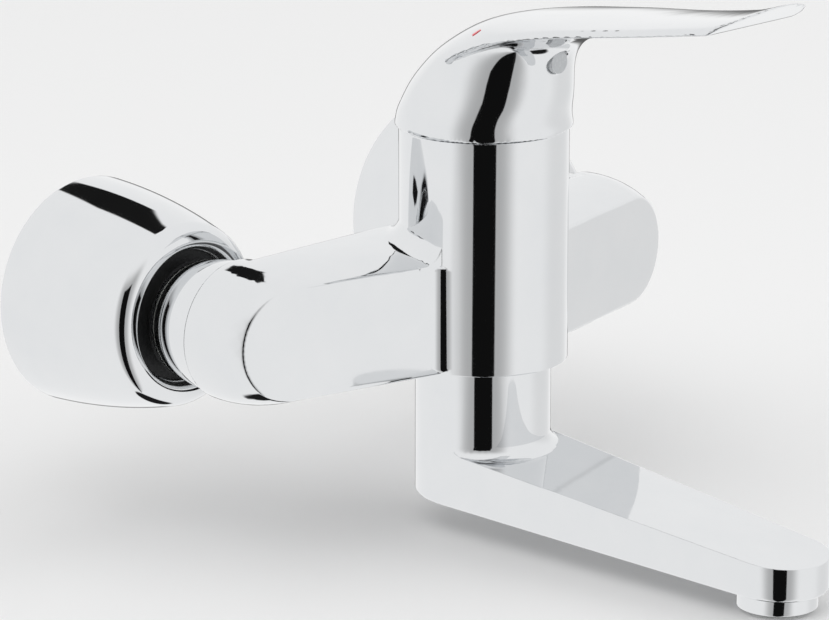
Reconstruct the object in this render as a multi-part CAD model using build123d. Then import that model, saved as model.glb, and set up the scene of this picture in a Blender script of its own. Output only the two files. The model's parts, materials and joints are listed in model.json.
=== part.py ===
from build123d import *
import math
import os

os.makedirs("parts", exist_ok=True)

# Where the tap meets the wall
inlet_spacing = 150.0
union_offset = 6.0
wall_thread_radius = 10.48
wall_thread_length = 18.0
union_thread_radius = 13.22
union_collar_radius = 15.5
union_collar_depth = 24.0
union_collar_length = 6.0
union_root_depth = 9.0
union_root_radius = 13.1
union_bore_radius = 7.5

# General clearances and cuts
thread_clearance = 0.05
running_clearance = 0.05
seat_gap = 0.3
overrun = 5.0

# Wall covers
rosette_wall_radius = 34.9
rosette_front_radius = 28.3
rosette_depth = 46.7
rosette_bulge = 1.3
rosette_lip_round = 4.6
rosette_mouth_radius = 20.0
rosette_dish_depth = 3.0
rosette_sleeve_length = 8.0
rosette_wall = 1.2
rosette_ring_length = 6.0

# Union nuts and what they clamp
nut_gap = 3.3
nut_length = 15.7
nut_back_depth = rosette_depth + nut_gap
nut_front_depth = nut_back_depth + nut_length
nut_back_radius = 17.2
nut_middle_radius = 19.2
nut_front_radius = 20.3
nut_chamfer = 0.6
nut_shoulder = 3.7
nipple_thread_radius = 10.2
nipple_thread_length = 14.0
nut_hole_clearance = 0.4
nut_hole_radius = nipple_thread_radius + nut_hole_clearance
nipple_collar_inset = 0.62
nipple_collar_radius = union_thread_radius - nipple_collar_inset
nipple_collar_length = 2.5
nipple_bore_radius = 7.8
washer_inset = 0.2
washer_thickness = 2.5
washer_radius = nipple_collar_radius - washer_inset
washer_front_depth = nut_front_depth - nut_shoulder - nipple_collar_length
union_face_depth = washer_front_depth - washer_thickness
sieve_bore_radius = 7.0
sieve_hole_radius = 0.9
sieve_hole_pitch = 2.7
sieve_ring_holes = 6
sieve_mesh_thickness = 0.6
valve_length = 11.0
valve_bore_radius = 3.6
valve_plug_radius = 4.6
valve_plug_length = 3.0
valve_ribs = 3

# Cartridge, from its seat in the casting upwards
cartridge_floor = 20.0
cartridge_radius = 19.9
cartridge_clearance = 0.2
cartridge_base_thickness = 6.0
cartridge_base_lift = 0.4
port_across = 8.2
port_back = 7.6
port_front = 5.0
seal_wall = 1.3
seal_clearance = 0.2
seal_thickness = 1.5
housing_wall = 3.6
housing_bore_radius = cartridge_radius - housing_wall
disc_thickness = 4.0
fixed_disc_radius = housing_bore_radius - seat_gap
disc_travel_room = 4.0
moving_disc_radius = fixed_disc_radius - disc_travel_room
moving_disc_rise = cartridge_floor + cartridge_base_thickness + disc_thickness + running_clearance
carrier_rim = 0.4
carrier_radius = moving_disc_radius + carrier_rim
carrier_height = 6.6
carrier_rise = moving_disc_rise + disc_thickness
carrier_bore_radius = 2.95
carrier_mouth_radius = 4.4
carrier_mouth_depth = 2.4
rotor_flange_inset = 1.3
rotor_flange_radius = housing_bore_radius - rotor_flange_inset
rotor_flange_width = 2.0
rotor_flange_thickness = 2.0
rotor_radius = rotor_flange_radius - rotor_flange_width
rotor_rise = carrier_rise + carrier_height + seat_gap
rotor_slot_width = 8.4
rotor_slot_front = 6.0
rotor_slot_back = 7.2
pivot_height = 5.45
pivot_rise = rotor_rise + pivot_height
rotor_head = 6.6
housing_rise = pivot_rise + rotor_head
spindle_width = 8.0
spindle_square_drop = 2.4
spindle_neck_radius = 2.2
spindle_ball_radius = 2.7
spindle_ball_rise = carrier_rise + carrier_bore_radius
pin_radius = 1.5
pin_length = 22.0
limiter_clearance = 0.6
limiter_bore_radius = rotor_radius + limiter_clearance
limiter_inset = 1.3
limiter_radius = cartridge_radius - limiter_inset
limiter_thickness = 2.0
nut_ring_wall = 2.1
nut_ring_thread_radius = cartridge_radius + nut_ring_wall
nut_ring_bore_radius = limiter_radius + seat_gap
nut_ring_height = 8.0
cap_height = 5.0
cap_top_inset = 6.5
cap_top_radius = nut_ring_thread_radius - cap_top_inset
cap_hole_radius = 11.5
cap_wall = 1.2

# Body casting
barrel_wall = 3.7
body_radius = nut_ring_thread_radius + barrel_wall
body_drop = 17.0
barrel_rise = housing_rise + limiter_thickness
barrel_top_round = 1.0
barrel_back_room = 4.1
horn_back_depth = nut_front_depth + seat_gap
body_depth = horn_back_depth + barrel_back_room + body_radius
horn_front_lead = 12.3
horn_front_depth = body_depth + horn_front_lead
horn_front_angle = 13.24
horn_back_half_height = 21.2
horn_middle_half_height = 20.5
horn_front_half_height = 17.0
horn_back_round = 4.0
horn_top_fillet = 7.0
horn_front_fillet = 7.0
horn_back_edge = 0.6
horn_front_edge_round = 1.6
foot_set_in = 0.3
collar_front_angle = 16.0
collar_steps = 10
collar_sink = 0.08
inlet_bore_radius = 7.0
inlet_bore_length = 18.0
inlet_bore_depth = horn_back_depth + inlet_bore_length
cross_bore_radius = 5.0
cross_bore_set_back = 16.0
cross_bore_depth = horn_back_depth + cross_bore_set_back
riser_bore_radius = 3.5
outlet_bore_radius = 4.0
casting_wall = 3.0

# Lever
seam_drop = 0.6
lever_seam_rise = barrel_rise - seam_drop
hub_overhang = 1.7
hub_radius = body_radius + hub_overhang
hub_edge_round = 0.8
skirt_clearance = 0.5
skirt_bore_radius = body_radius + skirt_clearance
skirt_depth = 0.5
hub_shoulder_inset = 1.0
hub_shoulder_radius = body_radius - hub_shoulder_inset
hub_shoulder_depth = 3.6
hub_bore_inset = 3.5
hub_bore_radius = body_radius - hub_bore_inset
hub_bore_depth = 8.0
hub_roof_radius = 15.5
hub_roof_height = 15.6
lever_length = 148.0
lever_rise = 55.3
crown_overhang = 0.6
crown_round = hub_radius + crown_overhang
crown_samples = 60
crown_columns = 9
crown_span_margin = 0.2
crown_half_span = hub_radius + crown_span_margin
halving_steps = 40
blade_thickness = 2.2
blade_inset = 0.4
blade_half_width = hub_radius - blade_inset
blade_tip_bow = 12.5
blade_corner_round = 4.0
tip_face_share = 0.695
tip_face_slope = 0.62
spindle_cover = 2.0
socket_clearance = 0.05
socket_depth_gap = 0.3
lever_screw_radius = 3.0
lever_screw_length = 12.0
key_radius = 1.5
key_depth = 4.0
lever_screw_height = 23.8
lever_screw_rise = lever_seam_rise + lever_screw_height
screw_cap_radius = 3.4
screw_cap_length = 3.0
screw_cap_lead = 3.0
screw_cap_forward = hub_radius + screw_cap_lead
mark_length = 3.0
mark_width = 1.2
mark_depth = 0.6
mark_forward = 17.6
mark_left = 22.2
mark_turn = 40.0

# Crown line of the lever: along the length, up the rise
crown_shares = (
    (0.0, 0.0),
    (0.010, 0.080),
    (0.024, 0.148),
    (0.048, 0.250),
    (0.077, 0.340),
    (0.116, 0.438),
    (0.155, 0.512),
    (0.199, 0.582),
    (0.249, 0.640),
    (0.322, 0.676),
    (0.453, 0.720),
    (0.617, 0.770),
    (0.720, 0.810),
    (0.822, 0.859),
    (0.889, 0.902),
    (0.945, 0.948),
    (1.0, 1.0),
)

# Neck of the lever: up the rise, across and along in shares of the hub's radius
neck_shares = (
    (0.0, 1.0, 1.0),
    (0.210, 0.934, 1.022),
    (0.354, 0.894, 1.058),
    (0.463, 0.894, 1.139),
    (0.553, 0.927, 1.350),
    (0.620, 0.965, 1.750),
    (0.700, 1.0, 2.400),
)

# Blade of the lever: ahead of the barrel's axis and half width, in shares of length and widest half
blade_shares = (
    (0.034, 0.904),
    (0.135, 0.974),
    (0.216, 1.0),
    (0.297, 0.922),
    (0.385, 0.844),
    (0.480, 0.767),
    (0.581, 0.722),
    (0.709, 0.752),
)

# Spout and its swivel
spout_top_gap = 0.3
spout_foot_step = 5.0
spout_foot_radius = body_radius - spout_foot_step
spout_bottom_drop = 60.6
spout_tip_bottom_drop = 63.4
spout_arm_drop = 42.8
spout_tip_drop = 52.3
spout_reach = 117.4
spout_tip_radius = 15.0
spout_neck_fillet = 5.0
spout_bottom_round = 1.6
spout_bore_radius = 12.5
spout_floor = 3.0
spout_duct_radius = 3.4
spout_duct_drop = 53.5
spout_duct_tip_drop = 57.9
swivel_flange_radius = 12.2
swivel_flange_thickness = 3.0
swivel_thread_radius = 9.0
swivel_thread_length = 12.0
swivel_shank_radius = 11.0
swivel_drop = 50.0
swivel_bore_radius = 6.0
glide_ring_height = 3.0
glide_ring_wall = 2.2
o_ring_radius = 1.6
o_ring_drops = (28.0, 43.0)
glide_ring_drops = (22.0, 47.0)
lock_groove_drop = 35.5
lock_groove_width = 4.4
lock_groove_radius = 8.6
lock_pin_radius = 2.0
lock_screw_radius = 2.5

# Aerator
aerator_thread_radius = 11.5
aerator_thread_length = 5.5
aerator_ring_radius = 11.86
aerator_ring_length = 5.1
aerator_bore_radius = 9.6
aerator_lip = 1.2
aerator_insert_length = 6.5
aerator_insert_holes = 12
aerator_hole_radius = 0.8
aerator_hole_circle = 5.8
gasket_thickness = 1.5

side_names = {-1: "left", 1: "right"}
inlet_x = inlet_spacing / 2
front_slope = math.tan(math.radians(horn_front_angle))
axis_place = Pos(0, -body_depth, 0)


def save(name, shape):
    """Writes one sub-part, lifted so that the wall threads lie at height zero."""
    export_step(Pos(0, 0, union_offset) * shape, f"parts/{name}.step")


def rod(radius, bottom, top):
    """Upright cylinder about the local Z axis."""
    return Pos(0, 0, (bottom + top) / 2) * Cylinder(radius, top - bottom)


def ring(radius, bore, bottom, top):
    """Upright tube about the local Z axis."""
    return rod(radius, bottom, top) - rod(bore, bottom - overrun, top + overrun)


def turned(*edges):
    """Solid of revolution about Z from the edges of a closed profile in the XZ plane."""
    return revolve(make_face(Plane.XZ * (Curve() + list(edges))), Axis.Z)


def profile(*points):
    """Solid of revolution about Z from a straight sided profile."""
    return turned(Polyline(*points, close=True))


def raised(plan, bottom, top):
    """Prism over a flat plan."""
    return Pos(0, 0, bottom) * extrude(plan, top - bottom, dir=(0, 0, 1))


def at_inlet(side, shape):
    """Lays an upright piece along the inlet axis, its foot on the wall."""
    return Pos(side * inlet_x, 0, 0) * Rot(90, 0, 0) * shape


def on_axis(shape):
    """Puts an upright piece on the axis of the tap's barrel."""
    return axis_place * shape


def rosette():
    """Bell shaped wall cover with a dished front and an inner sleeve."""
    lip = rosette_lip_round
    crest = rosette_front_radius - lip
    shoulder = rosette_depth - lip
    middle = (rosette_wall_radius + rosette_front_radius) / 2 + rosette_bulge
    mouth = rosette_mouth_radius
    dish = rosette_depth - rosette_dish_depth
    foot = dish - rosette_sleeve_length
    wall = rosette_wall
    slant = lip * math.sqrt(0.5)
    return turned(
        ThreePointArc((rosette_wall_radius, 0), (middle, shoulder / 2), (rosette_front_radius, shoulder)),
        ThreePointArc(
            (rosette_front_radius, shoulder),
            (crest + slant, shoulder + slant),
            (crest, rosette_depth),
        ),
        Line((crest, rosette_depth), (mouth, dish)),
        Line((mouth, dish), (mouth, foot)),
        Line((mouth, foot), (mouth + wall, foot)),
        Line((mouth + wall, foot), (mouth + wall, dish - wall)),
        Line((mouth + wall, dish - wall), (crest, rosette_depth - wall)),
        Line((crest, rosette_depth - wall), (rosette_front_radius - wall, shoulder)),
        ThreePointArc(
            (rosette_front_radius - wall, shoulder),
            (middle - wall, shoulder / 2),
            (rosette_wall_radius - wall, 0),
        ),
        Line((rosette_wall_radius - wall, 0), (rosette_wall_radius, 0)),
    )


def rosette_ring():
    """Ring that centres the cover on the thread of the wall union."""
    front = rosette_depth - rosette_dish_depth - rosette_wall
    bore = union_thread_radius + thread_clearance
    rim = rosette_mouth_radius - thread_clearance
    return ring(rim, bore, front - rosette_ring_length, front)


def s_union():
    """Eccentric wall union: wall thread below, tap thread above."""
    root = union_root_depth
    collar_back = union_collar_depth - union_collar_length
    neck_radius = union_thread_radius
    wall_place = Pos(0, -union_offset, 0)
    low = Wire.make_circle(union_root_radius)
    high = Wire.make_circle(neck_radius)
    crank = Solid.make_loft([Pos(0, -union_offset, root) * low, Pos(0, 0, collar_back) * high])
    body = rod(union_collar_radius, collar_back, union_collar_depth)
    body += rod(neck_radius, collar_back, union_face_depth)
    body += crank
    body += wall_place * rod(wall_thread_radius, -wall_thread_length, root)
    body -= rod(union_bore_radius, (root + collar_back) / 2, union_face_depth + overrun)
    body -= wall_place * rod(union_bore_radius, -wall_thread_length - overrun, collar_back)
    return body


def union_nut():
    """Smooth round nut with its shoulder towards the tap."""
    back, front = nut_back_depth, nut_front_depth
    middle = (back + front) / 2
    bore = union_thread_radius + thread_clearance
    step = front - nut_shoulder
    return turned(
        Line((bore, back), (nut_back_radius - nut_chamfer, back)),
        Line((nut_back_radius - nut_chamfer, back), (nut_back_radius, back + nut_chamfer)),
        ThreePointArc(
            (nut_back_radius, back + nut_chamfer), (nut_middle_radius, middle), (nut_front_radius, front)
        ),
        Line((nut_front_radius, front), (nut_hole_radius, front)),
        Line((nut_hole_radius, front), (nut_hole_radius, step)),
        Line((nut_hole_radius, step), (bore, step)),
        Line((bore, step), (bore, back)),
    )


def inlet_nipple():
    """Collared nipple screwed into the horn; the nut pulls on its collar."""
    step = nut_front_depth - nut_shoulder
    back = step - nipple_collar_length
    tip = horn_back_depth + nipple_thread_length
    body = rod(nipple_collar_radius, back, step) + rod(nipple_thread_radius, back, tip)
    return body - rod(nipple_bore_radius, back - overrun, tip + overrun)


def sieve_washer():
    """Flat seal with a sieve plate in its bore."""
    front = washer_front_depth
    washer = ring(washer_radius, sieve_bore_radius, union_face_depth, front)
    middle = (union_face_depth + front) / 2
    half = sieve_mesh_thickness / 2
    plate = rod(sieve_bore_radius, middle - half, middle + half)
    hole = rod(sieve_hole_radius, middle - overrun, middle + overrun)
    pitch = sieve_hole_pitch
    step = 360 / sieve_ring_holes
    plate -= hole
    for count in range(sieve_ring_holes):
        plate -= Rot(0, 0, step * count) * Pos(pitch, 0, 0) * hole
        plate -= Rot(0, 0, step * (count + 1 / 2)) * Pos(2 * pitch, 0, 0) * hole
    return washer + plate


def check_valve():
    """Non-return valve: a sleeve with its plug held by three ribs."""
    back = nut_front_depth - nut_shoulder
    front = back + valve_length
    sleeve_radius = nipple_bore_radius - thread_clearance
    sleeve_bore = valve_plug_radius + (sleeve_radius - valve_plug_radius) / 2
    body = ring(sleeve_radius, sleeve_bore, back, front)
    body += ring(sleeve_radius, valve_bore_radius, back, back + (valve_length - valve_plug_length) / 4)
    plug_back = front - valve_plug_length
    body += rod(valve_plug_radius, plug_back, front)
    rib_length = sleeve_bore + thread_clearance
    rib = Pos(rib_length / 2, 0, plug_back + valve_plug_length / 2)
    rib *= Box(rib_length, valve_plug_length / 2, valve_plug_length)
    for count in range(valve_ribs):
        body += Rot(0, 0, 360 / valve_ribs * count) * rib
    return body


def half_stadium(side, depth, lean, radius):
    """Outline of one horn in an upright plane that leans back with the distance from the middle."""
    angle = math.radians(lean)
    reach = inlet_x / math.cos(angle)

    def place(along, up):
        return (side * along * math.cos(angle), -depth + along * math.sin(angle), up)

    return Wire(
        [
            Edge.make_line(place(0, -radius), place(reach, -radius)),
            Edge.make_three_point_arc(place(reach, -radius), place(reach + radius, 0), place(reach, radius)),
            Edge.make_line(place(reach, radius), place(0, radius)),
            Edge.make_line(place(0, radius), place(0, -radius)),
        ]
    )


def horn(side):
    """One half of the cross bar, swelling from its flat front to its back."""
    blank = Solid.make_loft(
        [
            half_stadium(side, horn_back_depth, 0, horn_back_half_height),
            half_stadium(
                side,
                (horn_back_depth + horn_front_depth) / 2,
                horn_front_angle / 2,
                horn_middle_half_height,
            ),
            half_stadium(side, horn_front_depth, horn_front_angle, horn_front_half_height),
        ]
    )
    front = blank.faces().sort_by(Axis.Y)[0]
    outer = [edge for edge in front.edges() if abs(edge.center().X) > running_clearance]
    return blank.fillet(horn_front_edge_round, outer)


def back_cove():
    """Waste that rounds the upper and lower back edges between the inlets."""
    size = horn_back_round
    corner = Pos(0, -horn_back_depth, horn_back_half_height)
    block = Box(inlet_spacing, 2 * size, 2 * size)
    cylinder = Pos(0, -size, -size) * Rot(0, 90, 0) * Cylinder(size, inlet_spacing + overrun)
    slab = Pos(0, -2 * size, 0) * Box(inlet_spacing + overrun, 2 * size, 4 * size)
    floor = Pos(0, 0, -2 * size) * Box(inlet_spacing + overrun, 4 * size, 2 * size)
    upper = corner * (block - cylinder - slab - floor)
    cove = upper + mirror(upper, Plane.XY)
    for side in side_names:
        guard = rod(horn_back_half_height + running_clearance, 0, horn_front_depth)
        cove -= at_inlet(side, guard)
    return cove


def horn_top(x, y):
    """Height of the cross bar's upper face above the inlet axis."""
    depth = -y
    if depth < horn_back_depth + horn_back_round:
        inside = max(horn_back_depth + horn_back_round - depth, 0)
        drop = horn_back_round - math.sqrt(max(horn_back_round**2 - inside**2, 0))
        return horn_back_half_height - drop
    front = horn_front_depth - abs(x) * front_slope
    share = (depth - horn_back_depth) / (front - horn_back_depth)
    rise = 4 * horn_middle_half_height - 3 * horn_back_half_height - horn_front_half_height
    bend = 2 * horn_back_half_height + 2 * horn_front_half_height - 4 * horn_middle_half_height
    return horn_back_half_height + rise * share + bend * share**2


def collar_section(angle):
    """Radial slice of the hollow blend between the barrel and the top of the cross bar."""
    turn = math.radians(angle)
    room = body_depth - horn_back_depth - body_radius - horn_back_edge
    width = horn_top_fillet + (room - horn_top_fillet) * max(math.sin(turn), 0) ** 2
    reach = body_radius + width
    x, y = -reach * math.cos(turn), reach * math.sin(turn) - body_depth
    low = horn_top(x, y) - collar_sink
    high = horn_top(x, y - width * math.sin(turn)) + width
    inner = body_radius - casting_wall / 2
    start_radius = body_radius - collar_sink
    middle = start_radius + (reach - start_radius) * (1 - math.sqrt(0.5))
    halfway = high - (high - low) * math.sqrt(0.5)
    slice_plane = Plane(
        origin=(0, -body_depth, 0),
        x_dir=(-math.cos(turn), math.sin(turn), 0),
        z_dir=(math.sin(turn), math.cos(turn), 0),
    )
    points = [(inner, high), (start_radius, high), (middle, halfway), (reach, low), (reach, 0), (inner, 0)]
    corner = [slice_plane.from_local_coords(Vector(across, up, 0)) for across, up in points]
    top, start, bend, end, foot, root = corner
    return Wire(
        [
            Edge.make_line(top, start),
            Edge.make_three_point_arc(start, bend, end),
            Edge.make_line(end, foot),
            Edge.make_line(foot, root),
            Edge.make_line(root, top),
        ]
    )


def front_wedge():
    """Plan of everything behind the two leaning front faces, near the barrel."""
    corner = inlet_x * front_slope - horn_front_depth
    points = [(0, -horn_front_depth), (inlet_x, corner), (inlet_x, 0), (-inlet_x, 0), (-inlet_x, corner)]
    return make_face(Polyline(*points, close=True))


def barrel_collar():
    """Hollow blend round the foot of the barrel, on top of both horns."""
    span = 90.0 + collar_front_angle
    sections = [collar_section(90.0 - span * count / collar_steps) for count in range(collar_steps + 1)]
    left = Solid.make_loft(sections)
    return (left + mirror(left, Plane.YZ)) & raised(front_wedge(), 0, barrel_rise)


def barrel_plan():
    """Plan of the barrel between the two front faces, with hollow corners."""
    plan = Pos(0, -body_depth) * Circle(body_radius) + front_wedge()
    corners = []
    for vertex in plan.vertices():
        on_barrel = abs(math.hypot(vertex.X, vertex.Y + body_depth) - body_radius) < running_clearance
        if on_barrel and vertex.Y < -body_depth:
            corners.append(vertex)
    plan = fillet(corners, horn_front_fillet)
    return plan & (Pos(0, -body_depth - body_radius) * Rectangle(3 * body_radius, 2 * body_radius))


def barrel_foot():
    """Filling between the barrel and the front faces, its outline rounded as the faces are."""
    half_height = horn_front_half_height - foot_set_in
    block = raised(barrel_plan(), -half_height, half_height)
    levels = block.edges().group_by(Axis.Z)
    outline = [edge for edge in levels[0] + levels[-1] if edge.center().Y < -body_depth - overrun]
    ahead = [edge for edge in outline if abs(edge.center().X) < 3 * body_radius / 2 - running_clearance]
    return fillet(ahead, horn_front_edge_round)


def mixer_body():
    """Casting: upright barrel on a cross bar, with its water ways."""
    shape = horn(-1) + horn(1) - back_cove()
    shape += barrel_foot()
    barrel = on_axis(rod(body_radius, -body_drop, barrel_rise))
    rim = barrel.edges().group_by(Axis.Z)[-1]
    shape += fillet(rim, barrel_top_round)
    shape += barrel_collar()
    shape -= on_axis(rod(body_radius, -body_drop - 2 * overrun, -body_drop))
    bore = cartridge_radius + cartridge_clearance
    shape -= on_axis(rod(bore, cartridge_floor, barrel_rise + overrun))
    nut_bore = nut_ring_thread_radius + thread_clearance
    shape -= on_axis(rod(nut_bore, barrel_rise - nut_ring_height, barrel_rise + overrun))
    thread = swivel_thread_radius + thread_clearance
    shape -= on_axis(rod(thread, -body_drop - overrun, swivel_thread_length - body_drop + seat_gap))
    outlet_low = swivel_thread_length - body_drop - overrun
    outlet = rod(outlet_bore_radius, outlet_low, cartridge_floor + overrun)
    shape -= on_axis(Pos(0, -port_front, 0) * outlet)
    for side in side_names:
        nipple = rod(nipple_thread_radius + thread_clearance, 0, horn_back_depth + nipple_thread_length)
        shape -= at_inlet(side, nipple)
        shape -= at_inlet(side, rod(inlet_bore_radius, 0, inlet_bore_depth))
        cross = Rot(0, 90, 0) * Cylinder(cross_bore_radius, inlet_x - port_across)
        shape -= Pos(side * (inlet_x + port_across) / 2, -cross_bore_depth, 0) * cross
        riser = rod(riser_bore_radius, 0, cartridge_floor + overrun)
        shape -= on_axis(Pos(side * port_across, port_back, 0) * riser)
    return shape


def crown_line():
    """Line along the top of the lever, in its plane of symmetry."""
    back = hub_radius - body_depth
    points = []
    for along, up in crown_shares:
        points.append(Vector(0, back - along * lever_length, lever_seam_rise + up * lever_rise))
    return Edge.make_spline(points)


def crown_share(y):
    """Share of the crown line's length at a given distance from the wall."""
    line = crown_line()
    low, high = 0.0, 1.0
    for _ in range(halving_steps):
        middle = (low + high) / 2
        if (line @ middle).Y > y:
            low = middle
        else:
            high = middle
    return (low + high) / 2


def crown_set_back(x):
    """How far the crown falls back at a distance from the plane of symmetry."""
    return crown_round - math.sqrt(crown_round**2 - x**2)


def crown_face():
    """Upper face of the lever: the crown line carried sideways along a round arc."""
    line = crown_line()
    rows = []
    for row in range(crown_samples + 1):
        point = line @ (row / crown_samples)
        places = []
        for column in range(crown_columns):
            x = crown_half_span * (2 * column / (crown_columns - 1) - 1)
            places.append((x, point.Y - crown_set_back(x), point.Z))
        rows.append(places)
    return Face.make_surface_from_array_of_points(rows, tol=0.005, min_deg=3, max_deg=5)


def blade_stations():
    """Half width of the blade and its distance ahead of the barrel's axis, station by station."""
    return [(half * blade_half_width, ahead * lever_length) for ahead, half in blade_shares]


def blade_plan():
    """Plan of the blade: two curved sides, round corners and a bowed tip."""
    right = [(half, -body_depth - forward) for half, forward in blade_stations()]
    left = [(-x, y) for x, y in right]
    tip = right[-1][1]
    outline = Curve() + [
        Line(left[0], right[0]),
        Spline(*right),
        ThreePointArc(right[-1], (0, tip - blade_tip_bow), left[-1]),
        Spline(*reversed(left)),
    ]
    plan = make_face(outline)
    corners = [vertex for vertex in plan.vertices() if abs(vertex.Y - tip) < running_clearance]
    return fillet(corners, blade_corner_round)


def edge_height(forward, half):
    """Height of the crown over the edge of the blade."""
    return (crown_line() @ crown_share(crown_set_back(half) - body_depth - forward)).Z


def under_blade():
    """Everything above the underside of the blade, which is straight across."""
    face_forward = tip_face_share * lever_length
    stations = [place for place in blade_stations() if place[1] < face_forward]
    stations.append((blade_stations()[-1][0], face_forward))
    points = []
    for half, forward in stations:
        height = edge_height(forward, half) - blade_thickness
        points.append(Vector(0, -body_depth - forward, height))
    back, front = points[0], points[-1]
    top = lever_seam_rise + 2 * lever_rise
    far = Vector(0, front.Y - (top - front.Z) / tip_face_slope, top)
    sides = [
        Edge.make_spline(points),
        Edge.make_line(front, far),
        Edge.make_line(far, (0, 0, top)),
        Edge.make_line((0, 0, top), (0, 0, back.Z)),
        Edge.make_line((0, 0, back.Z), back),
    ]
    face = Face(Wire(sides))
    return Pos(-2 * hub_radius, 0, 0) * extrude(face, 4 * hub_radius, dir=(1, 0, 0))


def hub_neck():
    """Hub that changes upwards from round to long and flares into the blade."""
    sections = []
    for up, across, along in neck_shares:
        plane = Plane(origin=(0, -body_depth, lever_seam_rise + up * lever_rise))
        sections.append(Wire([Edge.make_ellipse(across * hub_radius, along * hub_radius, plane=plane)]))
    neck = Solid.make_loft(sections)
    edge = hub_radius - hub_edge_round
    seam = lever_seam_rise
    cone = profile((0, seam), (edge, seam), (edge + lever_rise, seam + lever_rise), (0, seam + lever_rise))
    return neck & on_axis(cone)


def lever_blank():
    """Solid outer form of the lever."""
    hood = Solid.extrude(crown_face(), (0, 0, -2 * lever_rise))
    top = lever_seam_rise + 2 * lever_rise
    circle = Pos(0, -body_depth) * Circle(hub_radius)
    plan = raised(blade_plan(), lever_seam_rise, top)
    around = plan + raised(circle, lever_seam_rise, top)
    neck = (hood & hub_neck()) & around
    blade = (hood & under_blade()) & plan
    return neck + blade


def ports():
    """Centres of the two inlet ports and the outlet port, about the barrel's axis."""
    return ((-port_across, port_back), (port_across, port_back), (0, -port_front))


def port_radius(y):
    """Bore of a port: the outlet at the front is the wider one."""
    return riser_bore_radius if y > 0 else outlet_bore_radius


def cartridge_base():
    """Foot of the cartridge with three ports and a pocket round each."""
    low = cartridge_floor + cartridge_base_lift
    high = cartridge_floor + cartridge_base_thickness
    pocket_top = cartridge_floor + seal_thickness
    body = rod(cartridge_radius, low, high)
    for x, y in ports():
        radius = port_radius(y)
        body -= Pos(x, y, 0) * rod(radius, 0, high + overrun)
        body -= Pos(x, y, 0) * rod(radius + seal_clearance + seal_wall, 0, pocket_top)
    return body


def base_seals():
    """Three rubber rings between the casting and the foot of the cartridge."""
    rings = []
    for x, y in ports():
        inner = port_radius(y) + seal_clearance
        seal = ring(inner + seal_wall, inner, cartridge_floor, cartridge_floor + seal_thickness)
        rings.append(Pos(x, y, 0) * seal)
    return Compound(children=rings)


def fixed_disc():
    """Lower ceramic disc with the three ports."""
    low = cartridge_floor + cartridge_base_thickness
    body = rod(fixed_disc_radius, low, low + disc_thickness)
    for x, y in ports():
        body -= Pos(x, y, 0) * rod(port_radius(y), 0, low + disc_thickness + overrun)
    return body


def moving_disc():
    """Upper ceramic disc with the mixing pocket in its sliding face."""
    low = moving_disc_rise
    body = rod(moving_disc_radius, low, low + disc_thickness)
    pocket = rod(moving_disc_radius / 2, 0, low + disc_thickness / 2)
    return body - Pos(0, -port_front / 2, 0) * pocket


def disc_carrier():
    """Carrier that drives the upper disc, with the socket for the spindle's ball."""
    low = carrier_rise
    high = low + carrier_height
    body = rod(carrier_radius, low, high)
    body -= rod(carrier_bore_radius, low + running_clearance, high + overrun)
    return body - rod(carrier_mouth_radius, high - carrier_mouth_depth, high + overrun)


def cartridge_housing():
    """Cup over the discs with the bearing bore of the rotor."""
    low = cartridge_floor + cartridge_base_thickness
    step = rotor_rise + rotor_flange_thickness + running_clearance
    body = ring(cartridge_radius, rotor_radius + running_clearance, low, housing_rise)
    return body - rod(housing_bore_radius, 0, step)


def cartridge_rotor():
    """Turning sleeve that carries the spindle on its pin."""
    low = rotor_rise
    body = rod(rotor_flange_radius, low, low + rotor_flange_thickness)
    body += rod(rotor_radius, low, housing_rise)
    length = rotor_slot_front + rotor_slot_back
    slot = Box(rotor_slot_width, length, 4 * overrun + housing_rise)
    body -= Pos(0, (rotor_slot_back - rotor_slot_front) / 2, housing_rise / 2) * slot
    return body - pin_body(pin_radius, pin_length)


def pin_body(radius, length):
    """Cross pin or its bore, at the height of the lever's pivot."""
    return Pos(0, 0, pivot_rise) * Rot(0, 90, 0) * Cylinder(radius, length)


def spindle_pin():
    """Steel cross pin on which the lever tilts."""
    return pin_body(pin_radius, pin_length)


def spindle_top():
    """Height of the spindle, kept under the crown above its back edge."""
    share = crown_share(spindle_width / 2 - body_depth)
    return (crown_line() @ share).Z - spindle_cover


def spindle_square(width, low, high):
    """Square shank of the spindle, or the socket for it."""
    return Pos(0, 0, low) * Box(width, width, high - low, align=(Align.CENTER, Align.CENTER, Align.MIN))


def cartridge_spindle():
    """Square spindle above the pin, ball ended below it."""
    low = pivot_rise - spindle_square_drop
    body = spindle_square(spindle_width, low, spindle_top())
    body += rod(spindle_neck_radius, spindle_ball_rise, low)
    body += Pos(0, 0, spindle_ball_rise) * Sphere(spindle_ball_radius)
    return body - pin_body(pin_radius + running_clearance, pin_length)


def limiter_ring():
    """Ring on the cartridge that limits the hot side."""
    body = ring(limiter_radius, limiter_bore_radius, housing_rise, housing_rise + limiter_thickness)
    notch = Box(limiter_thickness, 2 * limiter_radius, 2 * limiter_thickness)
    middle = (limiter_radius + limiter_bore_radius) / 2
    return body - Pos(0, middle + limiter_radius, housing_rise + limiter_thickness) * notch


def cartridge_nut():
    """Ring nut that presses on the shoulder of the cartridge."""
    low = barrel_rise - nut_ring_height
    body = ring(nut_ring_thread_radius, cartridge_radius + running_clearance, low, housing_rise)
    body += ring(nut_ring_thread_radius, nut_ring_bore_radius, housing_rise, barrel_rise)
    return body


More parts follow.
